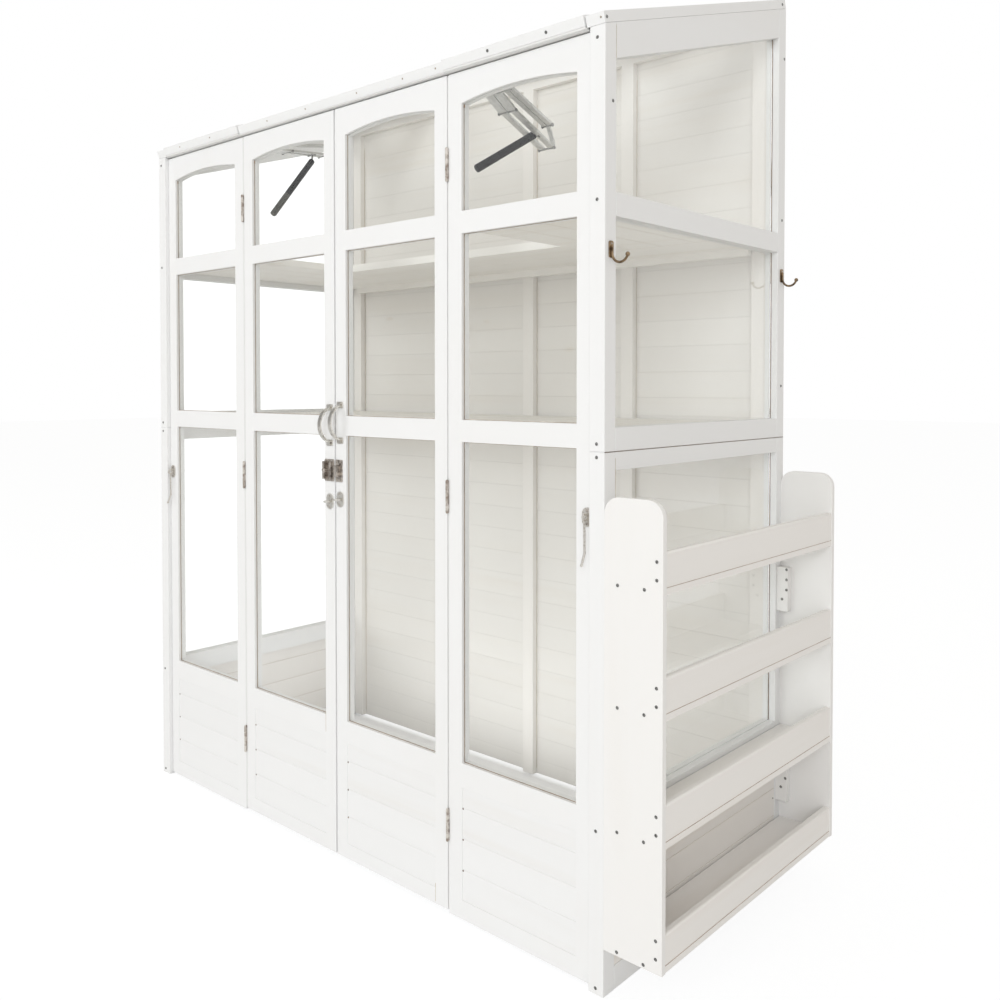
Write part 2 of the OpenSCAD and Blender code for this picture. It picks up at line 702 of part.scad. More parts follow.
// Slide bolt on the left door; its bar ends short of the meeting edge
module slide_bolt()
    color([0.3, 0.27, 0.24]) place() {
        w = bolt_w[0];
        x0 = seam_mid - door_gap / 2 - 1 - w;
        z = bolt_z + bolt_h / 2;
        upright(leaf_y - plate_t, plate_t) translate([x0 + w / 2, z]) rounded(w, bolt_h, 3);
        for (x = [x0 + 1, x0 + w - 9])
            upright(leaf_y - plate_t - 8, 9) translate([x + 4, z]) square([8, bolt_h * 0.8], center = true);
        rod([x0 + 0.5, leaf_y - plate_t - 4, z], [x0 + w - 0.5, leaf_y - plate_t - 4, z], 5);
        rod([x0 + w / 2, leaf_y - plate_t, z], [x0 + w / 2, leaf_y - plate_t - 15, z], 3);
        translate([x0 + w / 2, leaf_y - plate_t - 15, z]) sphere(5, $fn = 32);
    }

module bolt_keeper()
    color([0.3, 0.27, 0.24]) place() {
        w = bolt_w[1];
        x0 = seam_mid + door_gap / 2 + 1;
        z = bolt_z + bolt_h / 2;
        upright(leaf_y - plate_t, plate_t) translate([x0 + w / 2, z]) rounded(w, bolt_h, 3);
        upright(leaf_y - plate_t - 9, 10) translate([x0 + w / 2 - 2, z]) square([w * 0.5, bolt_h * 0.5], center = true);
    }

// Oval plate of a given width and height
module oval(x, z, s)
    upright(leaf_y - plate_t, plate_t) {
        translate([x, z]) square([s[0], s[1] - s[0]], center = true);
        for (k = [-1, 1])
            translate([x, z + k * (s[1] - s[0]) / 2]) circle(s[0] / 2, $fn = 48);
    }

// Eye that lies level in front of its oval plate
module eye_plate(x, z) {
    oval(x, z, eye);
    translate([x, leaf_y - plate_t - eye[0] * 0.34, z])
        rotate_extrude($fn = 48) translate([eye[0] * 0.27, 0]) circle(wire_r, $fn = 16);
}

module eye_plate_left() color(metal) place() eye_plate(seam_mid - handle_x, eye_z[0]);
module eye_plate_right() color(metal) place() eye_plate(seam_mid + handle_x, eye_z[1]);

// Cabin hook hanging from the ring on its plate, with a bent tip
module cabin_hook(x, z) {
    y = leaf_y - plate_t - hook[0] * 0.3;
    a = [x, y - 1, z - hook[0] * 0.3];
    b = [x, y, z - hook_l[0]];
    c = b + [0, -hook_l[1] * 0.42, -hook_l[1]];
    oval(x, z, hook);
    translate([x, y, z]) rotate([0, 90, 0])
        rotate_extrude($fn = 48) translate([hook[0] * 0.27, 0]) circle(wire_r, $fn = 16);
    rod(a, b, wire_r);
    rod(b, c, wire_r);
    translate(b) sphere(wire_r * 1.15, $fn = 24);
    translate(c) sphere(wire_r * 1.4, $fn = 24);
}

module cabin_hooks()
    color(metal) place() {
        cabin_hook(post + stile_w * 0.4, hook_z[0]);
        cabin_hook(width - post - stile_w * 0.3, hook_z[1]);
    }

// Coat hook on a post's outer side face: a plate and a J-shaped wire with a ball at its tip
module coat_hook(y, top) {
    r = (coat[1] - wire_r * 5) / 2;
    x = width + plate_t + wire_r * 0.6;
    z = top - coat[0] + r + wire_r * 1.1;
    crosswise(width, plate_t) translate([y, top - coat[0] * 0.36]) rounded(coat[0] * 0.3, coat[0] * 0.72, 4);
    rod([x, y, top - coat[0] * 0.2], [x, y, z], wire_r * 1.1);
    translate([x + r, y, z]) rotate([90, 0, 0]) rotate([0, 0, 180])
        rotate_extrude(angle = 165, $fn = 64) translate([r, 0]) circle(wire_r * 1.1, $fn = 20);
    translate([x + r + r * cos(-15), y, z + r * sin(-15)]) sphere(wire_r * 2, $fn = 32);
}

module coat_hooks()
    color([0.45, 0.36, 0.25]) place() {
        coat_hook(post / 2, rail1_z[0] - coat_drop[0]);
        coat_hook(depth - post / 2, rail1_z[0] - coat_drop[1]);
    }

post_front_left();
post_front_right();
post_back_left();
post_back_right();
left_wall_frame();
right_wall_frame();
side_plinth_boards();
side_glass();
back_wall_boards();
back_wall_battens();
panel_left();
panel_right();
panel_boards();
panel_glass();
door_left();
door_right();
door_left_boards();
door_right_boards();
door_left_glass();
door_right_glass();
roof_frame();
roof_glass();
vent_left();
vent_right();
vent_glass();
vent_openers();
upper_shelf();
middle_shelf();
rack_sides();
rack_shelf_1();
rack_shelf_2();
rack_shelf_3();
rack_shelf_4();
rack_cleats();
hinges_fixed();
hinges_door_left();
hinges_door_right();
handle_left();
handle_right();
slide_bolt();
bolt_keeper();
eye_plate_left();
eye_plate_right();
cabin_hooks();
coat_hooks();
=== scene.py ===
"""Looks of the timber wall greenhouse: paint, boards, glass, screws, glazing beads, vent openers and studio."""
import math

import bpy
from mathutils import Matrix, Vector


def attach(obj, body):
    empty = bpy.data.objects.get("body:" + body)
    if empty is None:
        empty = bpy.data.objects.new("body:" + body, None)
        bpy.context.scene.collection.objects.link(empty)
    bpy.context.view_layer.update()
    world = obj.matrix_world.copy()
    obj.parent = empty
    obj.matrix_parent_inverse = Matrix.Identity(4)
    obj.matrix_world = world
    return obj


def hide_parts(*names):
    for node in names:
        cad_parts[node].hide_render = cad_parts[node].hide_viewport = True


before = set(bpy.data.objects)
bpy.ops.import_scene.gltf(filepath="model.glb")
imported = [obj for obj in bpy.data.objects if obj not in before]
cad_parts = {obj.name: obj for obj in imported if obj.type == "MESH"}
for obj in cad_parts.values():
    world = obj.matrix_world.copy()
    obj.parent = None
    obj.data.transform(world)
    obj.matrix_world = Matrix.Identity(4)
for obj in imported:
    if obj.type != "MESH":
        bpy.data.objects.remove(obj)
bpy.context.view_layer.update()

HOUSE, LEFT, RIGHT = "greenhouse", "left_door", "right_door"
# The house's left front corner in the shared frame, and the main places on it, in mm from that corner
ZERO = Vector((-861.5, -353.25, 0))
WIDTH, POST, STILE, FACE = 1596, 35, 38, 10.5
GLASS_FRONT = 18.5
LEAVES = [(35, 414, HOUSE, "panel_left"), (419, 795.5, LEFT, "door_left"),
          (800.5, 1177, RIGHT, "door_right"), (1182, 1561, HOUSE, "panel_right")]
HINGE_Z = (163, 870, 1575)
RACK_Z = (93, 316, 546, 771)
BATTEN_X, BATTEN_W, WALL_Y = (443.7, 801.2, 1141.9), 38, 718
SHELF_BOARD, SHELF_BACK = 90, 524.7


def at(x, y, z):
    """Point given in mm from the greenhouse's left front corner, in the shared frame in metres."""
    return (Vector((x, y, z)) + ZERO) / 1000


# ---------------------------------------------------------------- node helpers
def add(tree, kind, links=None, **values):
    n = tree.nodes.new(kind)
    for key, value in values.items():
        if key in n.bl_rna.properties and key not in n.inputs:
            setattr(n, key, value)
        else:
            n.inputs[key].default_value = value
    for socket, source in (links or {}).items():
        tree.links.new(source, n.inputs[socket])
    return n


def math_node(tree, operation, a, b=None, clamp=False):
    n = tree.nodes.new("ShaderNodeMath")
    n.operation, n.use_clamp = operation, clamp
    for i, v in enumerate((a, b)):
        if v is None:
            continue
        if isinstance(v, (int, float)):
            n.inputs[i].default_value = v
        else:
            tree.links.new(v, n.inputs[i])
    return n.outputs[0]


def blend(tree, factor, a, b):
    n = tree.nodes.new("ShaderNodeMix")
    n.data_type = "RGBA"
    for socket, v in ((n.inputs[0], factor), (n.inputs[6], a), (n.inputs[7], b)):
        if isinstance(v, (int, float)):
            socket.default_value = v
        elif isinstance(v, (tuple, list)):
            socket.default_value = (*v, 1.0)
        else:
            tree.links.new(v, socket)
    return n.outputs[2]


def new_group(name, inputs, outputs):
    g = bpy.data.node_groups.new(name, "ShaderNodeTree")
    for label, kind, value in inputs:
        s = g.interface.new_socket(label, in_out="INPUT", socket_type=kind)
        s.default_value = value
    for label, kind in outputs:
        g.interface.new_socket(label, in_out="OUTPUT", socket_type=kind)
    return g, g.nodes.new("NodeGroupInput").outputs, g.nodes.new("NodeGroupOutput").inputs


COLOR, VALUE, VECTOR = "NodeSocketColor", "NodeSocketFloat", "NodeSocketVector"


def make_grain():
    """Timber grain, knots and brush marks under paint, drawn out along one direction."""
    g, i, o = new_group(
        "timber_grain",
        [("Stretch", VECTOR, (1, 1, 1)), ("Paint", COLOR, (0.9, 0.9, 0.9, 1)),
         ("Timber", COLOR, (0.8, 0.7, 0.5, 1)), ("Show", VALUE, 0.2)],
        [("Color", COLOR), ("Roughness", VALUE), ("Height", VALUE)])
    co = add(g, "ShaderNodeTexCoord").outputs["Object"]
    run = add(g, "ShaderNodeVectorMath", {0: co, 1: i["Stretch"]}, operation="MULTIPLY").outputs[0]
    drift = add(g, "ShaderNodeTexNoise", {"Vector": co}, Scale=1.7, Detail=2.0).outputs["Fac"]
    fine = add(g, "ShaderNodeTexNoise", {"Vector": run}, Scale=95.0, Detail=5.0, Roughness=0.62).outputs["Fac"]
    wide = add(g, "ShaderNodeTexNoise", {"Vector": run}, Scale=16.0, Detail=3.0, Distortion=0.6).outputs["Fac"]
    near = add(g, "ShaderNodeVectorMath", {0: i["Stretch"]}, operation="MAXIMUM")
    near.inputs[1].default_value = (0.45, 0.45, 0.45)
    spread = add(g, "ShaderNodeVectorMath", {0: co, 1: near.outputs[0]}, operation="MULTIPLY").outputs[0]
    spots = add(g, "ShaderNodeTexVoronoi", {"Vector": spread}, Scale=6.0, Randomness=1.0)
    knot = add(g, "ShaderNodeMapRange", {"Value": spots.outputs["Distance"]}, **{
        "From Min": 0.02, "From Max": 0.06, "To Min": 1.0, "To Max": 0.0}).outputs[0]
    stain = add(g, "ShaderNodeMapRange", {"Value": wide}, **{
        "From Min": 0.50, "From Max": 0.78, "To Min": 0.0, "To Max": 1.0}).outputs[0]
    mottle = add(g, "ShaderNodeMapRange", {"Value": drift}, **{
        "From Min": 0.3, "From Max": 0.7, "To Min": 0.2, "To Max": 1.0}).outputs[0]
    amount = math_node(g, "MAXIMUM", math_node(g, "MULTIPLY", stain, mottle), knot)
    amount = math_node(g, "MULTIPLY", amount, i["Show"], True)
    g.links.new(blend(g, amount, i["Paint"], i["Timber"]), o["Color"])
    rough = add(g, "ShaderNodeMapRange", {"Value": fine}, **{"To Min": 0.42, "To Max": 0.60}).outputs[0]
    g.links.new(rough, o["Roughness"])
    high = math_node(g, "ADD", math_node(g, "MULTIPLY", fine, 0.6), math_node(g, "MULTIPLY", wide, 0.4))
    g.links.new(math_node(g, "SUBTRACT", high, math_node(g, "MULTIPLY", knot, 0.25)), o["Height"])
    return g


def make_courses():
    """Even courses of boards up the wall: a mask for the joints and a value of its own for each board."""
    g, i, o = new_group(
        "board_courses",
        [("Base", VALUE, 0.046), ("Pitch", VALUE, 0.0665), ("Half width", VALUE, 0.0012)],
        [("Joint", VALUE), ("Board", VALUE)])
    z = add(g, "ShaderNodeSeparateXYZ", {0: add(g, "ShaderNodeTexCoord").outputs["Object"]}).outputs["Z"]
    k = math_node(g, "DIVIDE", math_node(g, "SUBTRACT", z, i["Base"]), i["Pitch"])
    off = math_node(g, "ABSOLUTE", math_node(g, "SUBTRACT", k, math_node(g, "ROUND", k)))
    off = math_node(g, "DIVIDE", math_node(g, "MULTIPLY", off, i["Pitch"]), i["Half width"])
    joint = add(g, "ShaderNodeMapRange", {"Value": off}, **{
        "From Min": 0.6, "From Max": 1.0, "To Min": 1.0, "To Max": 0.0}).outputs[0]
    g.links.new(joint, o["Joint"])
    own = add(g, "ShaderNodeTexWhiteNoise", {"W": math_node(g, "FLOOR", k)}, noise_dimensions="1D")
    g.links.new(own.outputs["Value"], o["Board"])
    return g


def make_scuffs():
    """Handling marks and tarnish on small metal pieces."""
    g, i, o = new_group(
        "metal_scuffs",
        [("Light", COLOR, (0.7, 0.7, 0.7, 1)), ("Dark", COLOR, (0.3, 0.3, 0.3, 1)), ("Scale", VALUE, 120.0),
         ("Worn", VALUE, 0.5)],
        [("Color", COLOR), ("Roughness", VALUE), ("Height", VALUE)])
    co = add(g, "ShaderNodeTexCoord").outputs["Object"]
    cloud = add(g, "ShaderNodeTexNoise", {"Vector": co, "Scale": i["Scale"]}, Detail=5.0, Roughness=0.6)
    cloud = cloud.outputs["Fac"]
    grit = add(g, "ShaderNodeTexNoise", {"Vector": co}, Scale=900.0, Detail=3.0).outputs["Fac"]
    lift = math_node(g, "ADD", cloud, math_node(g, "SUBTRACT", i["Worn"], 0.5))
    worn = add(g, "ShaderNodeMapRange", {"Value": lift}, **{"From Min": 0.38, "From Max": 0.62}).outputs[0]
    g.links.new(blend(g, worn, i["Dark"], i["Light"]), o["Color"])
    rough = add(g, "ShaderNodeMapRange", {"Value": grit}, **{"To Min": 0.22, "To Max": 0.5}).outputs[0]
    g.links.new(rough, o["Roughness"])
    g.links.new(math_node(g, "ADD", cloud, math_node(g, "MULTIPLY", grit, 0.4)), o["Height"])
    return g


GRAIN, COURSES, SCUFFS = make_grain(), make_courses(), make_scuffs()
PAINT = (0.865, 0.868, 0.870)
PINE = (0.62, 0.50, 0.34)


def start(name, **values):
    m = bpy.data.materials.new(name)
    m.use_nodes = True
    shader = m.node_tree.nodes["Principled BSDF"]
    for key, value in values.items():
        shader.inputs[key.replace("_", " ")].default_value = value
    return m, m.node_tree, shader


def use_group(tree, group, **values):
    n = tree.nodes.new("ShaderNodeGroup")
    n.node_tree = group
    for key, value in values.items():
        n.inputs[key.replace("_", " ")].default_value = value
    return n


def relief(tree, shader, height, distance, strength=0.6):
    bump = add(tree, "ShaderNodeBump", {"Height": height}, Strength=strength, Distance=distance)
    tree.links.new(bump.outputs[0], shader.inputs["Normal"])


def painted(name, stretch, paint=PAINT, show=0.05, depth=0.00025):
    m, t, s = start(name, Specular_IOR_Level=0.35)
    g = use_group(t, GRAIN, Stretch=stretch, Paint=(*paint, 1), Timber=(*PINE, 1), Show=show)
    t.links.new(g.outputs["Color"], s.inputs["Base Color"])
    t.links.new(g.outputs["Roughness"], s.inputs["Roughness"])
    relief(t, s, g.outputs["Height"], depth)
    return m


def boarded(name, stretch, base=0.046, paint=PAINT, show=0.10, shade=0.05, joint=(0.50, 0.49, 0.46), seam=0.3):
    m, t, s = start(name, Specular_IOR_Level=0.3)
    g = use_group(t, GRAIN, Stretch=stretch, Paint=(*paint, 1), Timber=(*PINE, 1), Show=show)
    c = use_group(t, COURSES, Base=base)
    own = blend(t, math_node(t, "MULTIPLY", c.outputs["Board"], shade), g.outputs["Color"], (0.45, 0.44, 0.41))
    lined = blend(t, math_node(t, "MULTIPLY", c.outputs["Joint"], seam), own, joint)
    t.links.new(lined, s.inputs["Base Color"])
    t.links.new(g.outputs["Roughness"], s.inputs["Roughness"])
    high = math_node(t, "SUBTRACT", g.outputs["Height"], math_node(t, "MULTIPLY", c.outputs["Joint"], seam))
    relief(t, s, high, 0.0005)
    return m


def metal(name, light, dark, worn=0.5, scale=120.0, metallic=1.0, sheen=0.5):
    m, t, s = start(name, Metallic=metallic, Specular_IOR_Level=sheen)
    g = use_group(t, SCUFFS, Light=(*light, 1), Dark=(*dark, 1), Worn=worn, Scale=scale)
    t.links.new(g.outputs["Color"], s.inputs["Base Color"])
    t.links.new(g.outputs["Roughness"], s.inputs["Roughness"])
    relief(t, s, g.outputs["Height"], 0.00015, 0.5)
    return m


def glazing(name, tint, roughness):
    """Clear pane: daylight passes it, and camera and mirror rays see its faces."""
    m, t, s = start(name, Transmission_Weight=1.0, IOR=1.45, Metallic=0.0)
    co = add(t, "ShaderNodeTexCoord").outputs["Object"]
    film = add(t, "ShaderNodeTexNoise", {"Vector": co}, Scale=4.0, Detail=3.0).outputs["Fac"]
    t.links.new(blend(t, film, tint, (0.985, 0.99, 0.99)), s.inputs["Base Color"])
    rough = add(t, "ShaderNodeMapRange", {"Value": film}, **{"To Min": roughness, "To Max": roughness * 2})
    t.links.new(rough.outputs[0], s.inputs["Roughness"])
    path = add(t, "ShaderNodeLightPath")
    clear = math_node(t, "MAXIMUM", path.outputs["Is Shadow Ray"], path.outputs["Is Diffuse Ray"])
    through = add(t, "ShaderNodeBsdfTransparent", Color=(0.985, 0.99, 0.985, 1))
    mix = add(t, "ShaderNodeMixShader", {0: clear, 1: s.outputs[0], 2: through.outputs[0]})
    t.links.new(mix.outputs[0], t.nodes["Material Output"].inputs["Surface"])
    return m


ALONG_X, ALONG_Y, ALONG_Z = (0.05, 1, 1), (1, 0.05, 1), (1, 1, 0.05)
post_paint = painted("white_paint_posts", ALONG_Z)
leaf_paint = painted("white_paint_leaves", (0.22, 1, 0.12))
rail_paint = painted("white_paint_side_walls", (1, 0.12, 0.5))
roof_paint = painted("white_paint_roof", (0.12, 0.5, 1))
rack_paint = painted("white_paint_rack", (0.6, 1, 0.10), paint=(0.872, 0.864, 0.852), show=0.08)
rack_boards = painted("white_paint_rack_shelves", ALONG_Y, paint=(0.885, 0.865, 0.842), show=0.18)
batten_paint = painted("white_paint_battens", ALONG_Z, paint=(0.855, 0.832, 0.798), show=0.12)
leaf_boards = boarded("leaf_boards", ALONG_X, joint=(0.62, 0.61, 0.59), shade=0.03, seam=0.18)
plinth_boards = boarded("plinth_boards", ALONG_Y, paint=(0.89, 0.865, 0.835), joint=(0.55, 0.48, 0.41),
                        show=0.16, seam=0.5)
wall_boards = boarded("back_wall_boards", ALONG_X, paint=(0.825, 0.805, 0.77), show=0.18, shade=0.05, seam=0.22)
# The inside shelves take a lighter copy of the white paint. This is painted light, making up for the shade on them
# inside the house.
shelf_wash_lightened = painted("shelf_white_wash_lightened", ALONG_X, paint=(0.92, 0.90, 0.86), show=0.30, depth=0.0005)
pane = glazing("clear_glass", (0.985, 0.99, 0.985), 0.002)
nickel = metal("satin_nickel", (0.62, 0.58, 0.52), (0.36, 0.32, 0.27), 0.62)
bow_metal = metal("bow_handle_metal", (0.84, 0.82, 0.77), (0.42, 0.37, 0.31), 0.62, 110.0)
antique = metal("bolt_metal", (0.74, 0.68, 0.62), (0.10, 0.075, 0.06), 0.56, 75.0)
hinge_metal = metal("hinge_steel", (0.72, 0.68, 0.63), (0.27, 0.21, 0.17), 0.53, 90.0, 0.25)
hook_metal = metal("hook_metal", (0.80, 0.77, 0.72), (0.48, 0.43, 0.37), 0.6, 300.0)
bronze = metal("antique_bronze", (0.40, 0.29, 0.18), (0.11, 0.075, 0.05), 0.52)
zinc = metal("screw_zinc", (0.42, 0.42, 0.41), (0.16, 0.16, 0.15), 0.5, 300.0)
sheet_metal = metal("opener_sheet", (0.66, 0.66, 0.64), (0.50, 0.50, 0.48), 0.6, 90.0, 0.55)
black_tube = metal("opener_tube", (0.014, 0.014, 0.017), (0.010, 0.010, 0.012), 0.5, 30.0, 0.0, 0.06)
sleeve_grey = metal("opener_sleeve", (0.105, 0.105, 0.090), (0.070, 0.070, 0.062), 0.5, 30.0, 0.0, 0.1)
old_zinc = metal("old_screw_zinc", (0.60, 0.54, 0.46), (0.40, 0.33, 0.26), 0.5, 300.0, 0.4)
# Painted shadow: brown for the strip in the corner between each rack lip and its shelf, where shade falls.
lip_painted_shadow = metal("lip_joint_shadow", (0.50, 0.41, 0.35), (0.34, 0.26, 0.21), 0.5, 30.0, 0.0, 0.1)
# Dark painted shadow: brown for the nail-head dots at the board joints, the joint between the two modules and the
# side panes' seals.
dark_painted_shadow = metal("joint_shadow", (0.26, 0.18, 0.13), (0.15, 0.10, 0.08), 0.5, 60.0, 0.0, 0.1)
# Pale painted shadow: brown for the thin strips in the joints beside the right front post, at the doors' boards,
# beside the battens and between the shelf boards.
pale_painted_shadow = metal("joint_painted_shadow_pale", (0.62, 0.52, 0.38), (0.46, 0.38, 0.28), 0.5, 60.0, 0.0, 0.1)
strip_white = painted("weather_strip", (1, 1, 1), paint=(0.80, 0.80, 0.79), show=0.0)
sealant = metal("glazing_seal", (0.42, 0.31, 0.23), (0.27, 0.19, 0.14), 0.5, 60.0, 0.0, 0.2)

FINISH = {
    "post": post_paint, "panel_left": leaf_paint, "panel_right": leaf_paint, "door_left": leaf_paint,
    "door_right": leaf_paint, "left_wall": rail_paint, "right_wall": rail_paint, "roof_frame": roof_paint,
    "vent_left": roof_paint, "vent_right": roof_paint, "rack_sides": rack_paint, "rack_cleats": rack_paint,
    "rack_shelf": rack_boards, "back_wall_battens": batten_paint, "side_plinth": plinth_boards,
    "back_wall_boards": wall_boards, "panel_boards": leaf_boards, "door_left_boards": leaf_boards,
    "door_right_boards": leaf_boards, "upper_shelf": shelf_wash_lightened, "middle_shelf": shelf_wash_lightened,
    "side_glass": pane, "panel_glass": pane, "door_left_glass": pane, "door_right_glass": pane,
    "roof_glass": pane, "vent_glass": pane, "hinges": hinge_metal, "handle": bow_metal, "eye_plate": bow_metal,
    "cabin_hooks": hook_metal, "slide_bolt": antique, "bolt_keeper": antique, "coat_hooks": bronze,
    "vent_openers": sheet_metal,
}


def set_material(obj, material):
    obj.data.materials.clear()
    obj.data.materials.append(material)


for name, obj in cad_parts.items():
    key = max((k for k in FINISH if name.startswith(k)), key=len)
    set_material(obj, FINISH[key])


# Eased edges of the timber
TIMBER = ("post", "panel_left", "panel_right", "door_left", "door_right", "left_wall", "right_wall", "roof_frame",
          "vent_left", "vent_right", "rack_s", "rack_c", "back_wall_battens", "upper_shelf", "middle_shelf")
EASE = {"rack_s": 0.0016, "rack_c": 0.0016, "post": 0.0011}
for name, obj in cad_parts.items():
    if name.startswith(TIMBER) and "glass" not in name and "boards" not in name:
        weld = obj.modifiers.new("meet", "WELD")
        weld.merge_threshold = 0.00002
        ease = obj.modifiers.new("ease", "BEVEL")
        key = max((k for k in EASE if name.startswith(k)), default="")
        ease.width, ease.segments = EASE.get(key, 0.0009), 2
        ease.limit_method, ease.angle_limit = "ANGLE", math.radians(40)


# ---------------------------------------------------------------- shaping helpers
def deselect():
    bpy.ops.object.select_all(action="DESELECT")


def settle(obj, name):
    """Puts the object's place into its mesh and names it."""
    deselect()
    obj.select_set(True)
    bpy.context.view_layer.objects.active = obj
    bpy.ops.object.transform_apply(location=True, rotation=True, scale=True)
    obj.name = obj.data.name = name
    return obj


def block(name, low, high, soften=0.0004):
    """Square bar between two corners, its edges eased."""
    deselect()
    low, high = Vector(low), Vector(high)
    bpy.ops.mesh.primitive_cube_add(size=1, location=(low + high) / 2)
    obj = bpy.context.object
    obj.scale = high - low
    settle(obj, name)
    bpy.ops.object.mode_set(mode="EDIT")
    bpy.ops.mesh.select_all(action="SELECT")
    bpy.ops.mesh.bevel(offset=soften, segments=2, affect="EDGES")
    bpy.ops.object.mode_set(mode="OBJECT")
    return obj


def tube(name, a, b, radius, sides=32, soften=0.0005):
    """Round bar between two points, its rims eased."""
    deselect()
    a, b = Vector(a), Vector(b)
    bpy.ops.mesh.primitive_cylinder_add(vertices=sides, radius=radius, depth=(b - a).length, location=(a + b) / 2)
    obj = bpy.context.object
    obj.rotation_mode = "QUATERNION"
    obj.rotation_quaternion = (b - a).to_track_quat("Z", "Y")
    settle(obj, name)
    bpy.ops.object.mode_set(mode="EDIT")
    bpy.ops.mesh.select_all(action="DESELECT")
    bpy.ops.object.mode_set(mode="OBJECT")
    for p in obj.data.polygons:
        p.select = len(p.vertices) == sides
    bpy.ops.object.mode_set(mode="EDIT")
    bpy.ops.mesh.bevel(offset=soften, segments=2, affect="EDGES")
    bpy.ops.object.mode_set(mode="OBJECT")
    bpy.ops.object.shade_smooth_by_angle(angle=math.radians(40))
    return obj


def copy_of(obj, name, matrix):
    """A copy with its own mesh, moved to its place."""
    twin = obj.copy()
    twin.data = obj.data.copy()
    twin.data.transform(matrix)
    bpy.context.collection.objects.link(twin)
    twin.name = twin.data.name = name
    return twin


def joined(pieces, name, material, body):
    """Several meshes as one piece of the object, with its finish and the body that it rides on."""
    deselect()
    for p in pieces:
        p.select_set(True)
    bpy.context.view_layer.objects.active = pieces[0]
    if len(pieces) > 1:
        bpy.ops.object.join()
    obj = bpy.context.view_layer.objects.active
    obj.name = obj.data.name = name
    set_material(obj, material)
    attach(obj, body)
    return obj


# ---------------------------------------------------------------- screws
def make_screw():
    """Countersunk screw head at the origin that faces +Z, with a cross recess."""
    deselect()
    bpy.ops.mesh.primitive_cylinder_add(vertices=24, radius=0.0028, depth=0.0012, location=(0, 0, 0))
    obj = settle(bpy.context.object, "screw")

    def pick_top():
        top = max(obj.data.polygons, key=lambda p: (round(p.center.z, 6), len(p.vertices)))
        for p in obj.data.polygons:
            p.select = p.index == top.index
        for e in obj.data.edges:
            e.select = False
        for v in obj.data.vertices:
            v.select = v.index in top.vertices
        return top

    pick_top()
    bpy.ops.object.mode_set(mode="EDIT")
    bpy.ops.mesh.select_mode(type="FACE")
    bpy.ops.mesh.bevel(offset=0.0004, segments=2, affect="EDGES")
    bpy.ops.mesh.inset(thickness=0.0010)
    bpy.ops.mesh.extrude_region_move(TRANSFORM_OT_translate={"value": (0, 0, -0.0009)})
    bpy.ops.transform.resize(value=(0.75, 0.75, 1))
    bpy.ops.object.mode_set(mode="OBJECT")
    for v in obj.data.vertices:
        r = math.hypot(v.co.x, v.co.y)
        if 0.0001 < r < 0.0016:
            turn = abs(math.sin(2 * math.atan2(v.co.y, v.co.x)))
            v.co.x *= 1 - 0.55 * turn
            v.co.y *= 1 - 0.55 * turn
    bpy.ops.object.shade_smooth_by_angle(angle=math.radians(35))
    return obj


screw = make_screw()
FACING = {"front": Matrix.Rotation(math.pi / 2, 4, "X"), "back": Matrix.Rotation(-math.pi / 2, 4, "X"),
          "right": Matrix.Rotation(math.pi / 2, 4, "Y"), "eaves": Matrix.Rotation(math.radians(107.8), 4, "X")}


def screws(name, places, facing, body, size=1.0, material=None):
    made = []
    for n, p in enumerate(places):
        turn = Matrix.Rotation(0.7 * n + len(name), 4, "Z")
        grow = Matrix.Diagonal((size, size, 1, 1))
        made.append(copy_of(screw, "s", Matrix.Translation(at(*p)) @ FACING[facing] @ turn @ grow))
    return joined(made, name, material or zinc, body)


POST_Z = (12, 309, 1008, 1033, 1484, 1780)
screws("post_screws_front", [(x, 0, z) for x in (13, 1578) for z in POST_Z], "front", HOUSE)
post_marks = [(WIDTH, y, z) for y, z in ((24, 1666), (722, 1915), (715, 1533), (715, 1140))]
screws("post_screws_right", post_marks, "right", HOUSE)
screws("plinth_nails_right", [(WIDTH - 1, y, z) for y in (41, 688) for z in (156, 88)], "right", HOUSE, 0.6)
screws("roof_screws_right", [(WIDTH, 4, 1814), (WIDTH, 710, 2040)], "right", HOUSE)
roof_marks = [(x, -3.4, 1813) for x in (546, 705, 898, 1054, 1157, 1588)]
screws("roof_screws_front", roof_marks, "eaves", HOUSE, 0.62, old_zinc)
screws("vent_screws_left", [(x, -8.2, 1814) for x in (131, 286)], "eaves", HOUSE, 0.62, old_zinc)
screws("vent_screws_right", [(x, -8.2, 1814) for x in (1311, 1463)], "eaves", HOUSE)
rack_marks = [(1710, 0, z + k) for z in RACK_Z for k in (26, 59)]
rack_marks += [(x, 0, z + 6) for z in RACK_Z for x in (1626, 1684)]
screws("rack_screws_front", rack_marks, "front", HOUSE)

cleat_marks = [(1621, 705), (1621, 681), (1621, 657), (1610, 634), (1621, 207), (1610, 184), (1621, 240)]
screws("cleat_screws_back", [(x, 699.9, z) for x, z in cleat_marks], "front", HOUSE)
screws("cleat_screws_front", [(x, 30.5, z) for x, z in cleat_marks], "back", HOUSE)

